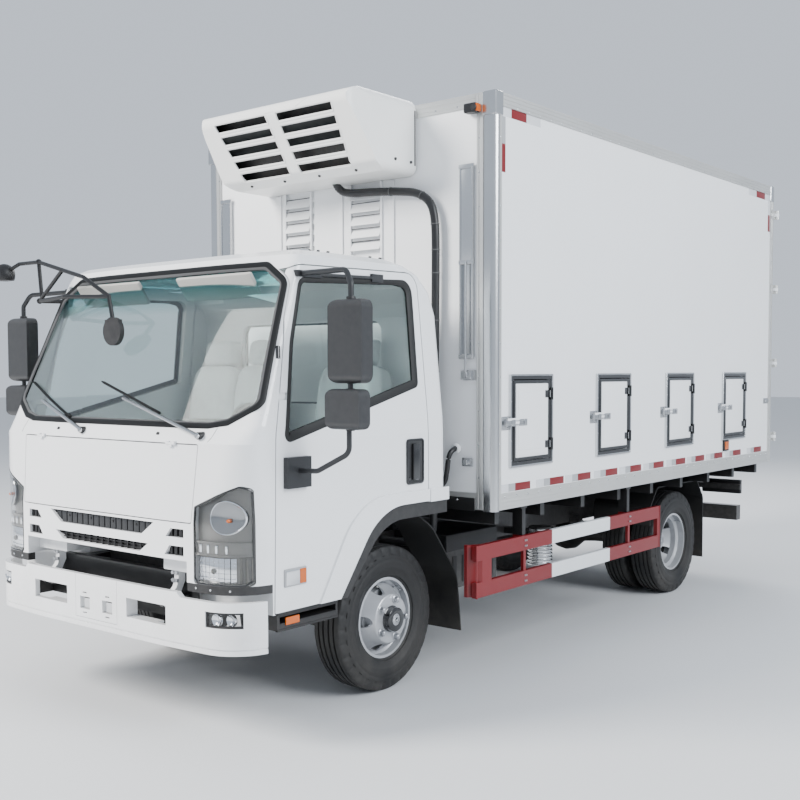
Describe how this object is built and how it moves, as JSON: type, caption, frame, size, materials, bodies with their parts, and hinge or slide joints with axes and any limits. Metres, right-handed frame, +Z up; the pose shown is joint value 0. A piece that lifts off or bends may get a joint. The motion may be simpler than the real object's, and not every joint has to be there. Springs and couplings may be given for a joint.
{
  "type": "livestock truck",
  "caption": "Light cab-over livestock truck with an insulated box body, side feeding hatches, a refrigeration unit over the cab and twin rear wheels.",
  "frame": {"origin": "On the ground under the middle of the overall length and width.", "axes": "+X is the truck's own left side, -Y is forwards, +Z is up."},
  "size_m": [2.77, 5.995, 3.236],
  "materials": {
    "black_plastic": "matte",
    "black_rubber": "matte",
    "cab_white": "gloss",
    "chassis_black": "satin",
    "guard_red": "gloss",
    "lamp_lens": "gloss",
    "panel_white": "gloss",
    "rail_aluminium": "satin",
    "seat_cover": "matte",
    "stainless": "satin",
    "tyre_rubber": "matte",
    "unit_white": "gloss",
    "wheel_silver": "satin",
    "window_glass": "gloss"
  },
  "bodies": {
    "chassis": {"battery_box": "black_plastic", "box_edge_frame": "rail_aluminium", "box_floor": "chassis_black", "box_front_wall": "panel_white", "box_hardware": "stainless", "box_roof": "panel_white", "box_side_left": "panel_white", "box_side_right": "panel_white", "driveline": "chassis_black", "exhaust": "chassis_black", "frame_rails": "chassis_black", "front_axle": "chassis_black", "front_bumper": "cab_white", "lamps": "lamp_lens", "leaf_springs": "chassis_black", "mudguards": "black_plastic", "rear_axle": "chassis_black", "rear_bars": "chassis_black", "side_guards": "guard_red", "tanks": "chassis_black", "unit_core": "black_plastic", "unit_hoses": "black_rubber", "unit_housing": "unit_white"},
    "cab": {"cab_body": "cab_white", "cab_fittings": "black_plastic", "cab_glass": "window_glass", "cab_trims": "wheel_silver", "dashboard": "black_plastic", "grille_mesh": "black_plastic", "grille_panel": "cab_white", "headlamps": "lamp_lens", "seats": "seat_cover"},
    "door_left_body": {"door_fittings_left": "black_plastic", "door_glass_left": "window_glass", "door_left": "cab_white"},
    "door_right_body": {"door_fittings_right": "black_plastic", "door_glass_right": "window_glass", "door_right": "cab_white"},
    "lid": {"front_lid": "cab_white"},
    "front_wheel_left": {"front_rim_left": "wheel_silver", "front_tyre_left": "tyre_rubber"},
    "front_wheel_right": {"front_rim_right": "wheel_silver", "front_tyre_right": "tyre_rubber"},
    "hatch_left_1_leaf": {"hatch_left_1": "panel_white"},
    "hatch_left_2_leaf": {"hatch_left_2": "panel_white"},
    "hatch_left_3_leaf": {"hatch_left_3": "panel_white"},
    "hatch_left_4_leaf": {"hatch_left_4": "panel_white"},
    "hatch_right_1_leaf": {"hatch_right_1": "panel_white"},
    "hatch_right_2_leaf": {"hatch_right_2": "panel_white"},
    "hatch_right_3_leaf": {"hatch_right_3": "panel_white"},
    "hatch_right_4_leaf": {"hatch_right_4": "panel_white"},
    "steer_left": {"knuckle_left": "chassis_black"},
    "steer_right": {"knuckle_right": "chassis_black"},
    "rear_door_left_leaf": {"rear_door_left": "panel_white"},
    "rear_door_right_leaf": {"rear_door_right": "panel_white"},
    "rear_wheels_left": {"rear_rims_left": "wheel_silver", "rear_tyres_left": "tyre_rubber"},
    "rear_wheels_right": {"rear_rims_right": "wheel_silver", "rear_tyres_right": "tyre_rubber"},
    "steering_rod": {"tie_rod": "chassis_black"}
  },
  "joints": [
    {"name": "cab_tilt", "type": "hinge", "parent": "chassis", "child": "cab", "pos_m": [0, -2.9325, 0.62], "axis": [1, 0, 0], "range_deg": [0, 45]},
    {"name": "door_left_hinge", "type": "hinge", "parent": "cab", "child": "door_left_body", "pos_m": [0.982, -2.7285, 1.2], "axis": [0, 0, 1], "range_deg": [-70, 0]},
    {"name": "door_right_hinge", "type": "hinge", "parent": "cab", "child": "door_right_body", "pos_m": [-0.982, -2.7285, 1.2], "axis": [0, 0, -1], "range_deg": [-70, 0]},
    {"name": "lid_hinge", "type": "hinge", "parent": "cab", "child": "lid", "pos_m": [0, -2.9475, 1.3635], "axis": [1, 0, 0], "range_deg": [-65, 0]},
    {"name": "steer_left_pin", "type": "hinge", "parent": "chassis", "child": "steer_left", "pos_m": [0.636, -1.7625, 0.386], "axis": [0, 0, 1], "range_deg": [-35, 35]},
    {"name": "steer_right_pin", "type": "hinge", "parent": "chassis", "child": "steer_right", "pos_m": [-0.636, -1.7625, 0.386], "axis": [0, 0, 1], "range_deg": [-35, 35]},
    {"name": "tie_rod_pin", "type": "hinge", "parent": "steer_left", "child": "steering_rod", "pos_m": [0.636, -1.5925, 0.3147], "axis": [0, 0, 1], "range_deg": [-35, 35]},
    {"name": "front_wheel_left_hub", "type": "hinge", "parent": "steer_left", "child": "front_wheel_left", "pos_m": [0.75, -1.7625, 0.386], "axis": [1, 0, 0], "continuous": true},
    {"name": "front_wheel_right_hub", "type": "hinge", "parent": "steer_right", "child": "front_wheel_right", "pos_m": [-0.75, -1.7625, 0.386], "axis": [1, 0, 0], "continuous": true},
    {"name": "rear_wheels_left_hub", "type": "hinge", "parent": "chassis", "child": "rear_wheels_left", "pos_m": [0.714, 1.5975, 0.386], "axis": [1, 0, 0], "continuous": true},
    {"name": "rear_wheels_right_hub", "type": "hinge", "parent": "chassis", "child": "rear_wheels_right", "pos_m": [-0.714, 1.5975, 0.386], "axis": [1, 0, 0], "continuous": true},
    {"name": "hatch_left_1_hinge", "type": "hinge", "parent": "chassis", "child": "hatch_left_1_leaf", "pos_m": [1.1675, -0.6365, 1.41], "axis": [0, 0, -1], "range_deg": [-110, 0]},
    {"name": "hatch_right_1_hinge", "type": "hinge", "parent": "chassis", "child": "hatch_right_1_leaf", "pos_m": [-1.1675, -0.6365, 1.41], "axis": [0, 0, 1], "range_deg": [-110, 0]},
    {"name": "hatch_left_2_hinge", "type": "hinge", "parent": "chassis", "child": "hatch_left_2_leaf", "pos_m": [1.1675, 0.3575, 1.41], "axis": [0, 0, -1], "range_deg": [-110, 0]},
    {"name": "hatch_right_2_hinge", "type": "hinge", "parent": "chassis", "child": "hatch_right_2_leaf", "pos_m": [-1.1675, 0.3575, 1.41], "axis": [0, 0, 1], "range_deg": [-110, 0]},
    {"name": "hatch_left_3_hinge", "type": "hinge", "parent": "chassis", "child": "hatch_left_3_leaf", "pos_m": [1.1675, 1.3515, 1.41], "axis": [0, 0, -1], "range_deg": [-110, 0]},
    {"name": "hatch_right_3_hinge", "type": "hinge", "parent": "chassis", "child": "hatch_right_3_leaf", "pos_m": [-1.1675, 1.3515, 1.41], "axis": [0, 0, 1], "range_deg": [-110, 0]},
    {"name": "hatch_left_4_hinge", "type": "hinge", "parent": "chassis", "child": "hatch_left_4_leaf", "pos_m": [1.1675, 2.3455, 1.41], "axis": [0, 0, -1], "range_deg": [-110, 0]},
    {"name": "hatch_right_4_hinge", "type": "hinge", "parent": "chassis", "child": "hatch_right_4_leaf", "pos_m": [-1.1675, 2.3455, 1.41], "axis": [0, 0, 1], "range_deg": [-110, 0]},
    {"name": "rear_door_left_hinge", "type": "hinge", "parent": "chassis", "child": "rear_door_left_leaf", "pos_m": [1.1725, 2.9745, 2], "axis": [0, 0, -1], "range_deg": [0, 245]},
    {"name": "rear_door_right_hinge", "type": "hinge", "parent": "chassis", "child": "rear_door_right_leaf", "pos_m": [-1.1725, 2.9745, 2], "axis": [0, 0, 1], "range_deg": [0, 245]}
  ],
  "couplings": [
    {"joint": "steer_right_pin", "follows": "steer_left_pin", "ratio": 1},
    {"joint": "tie_rod_pin", "follows": "steer_left_pin", "ratio": -1}
  ]
}
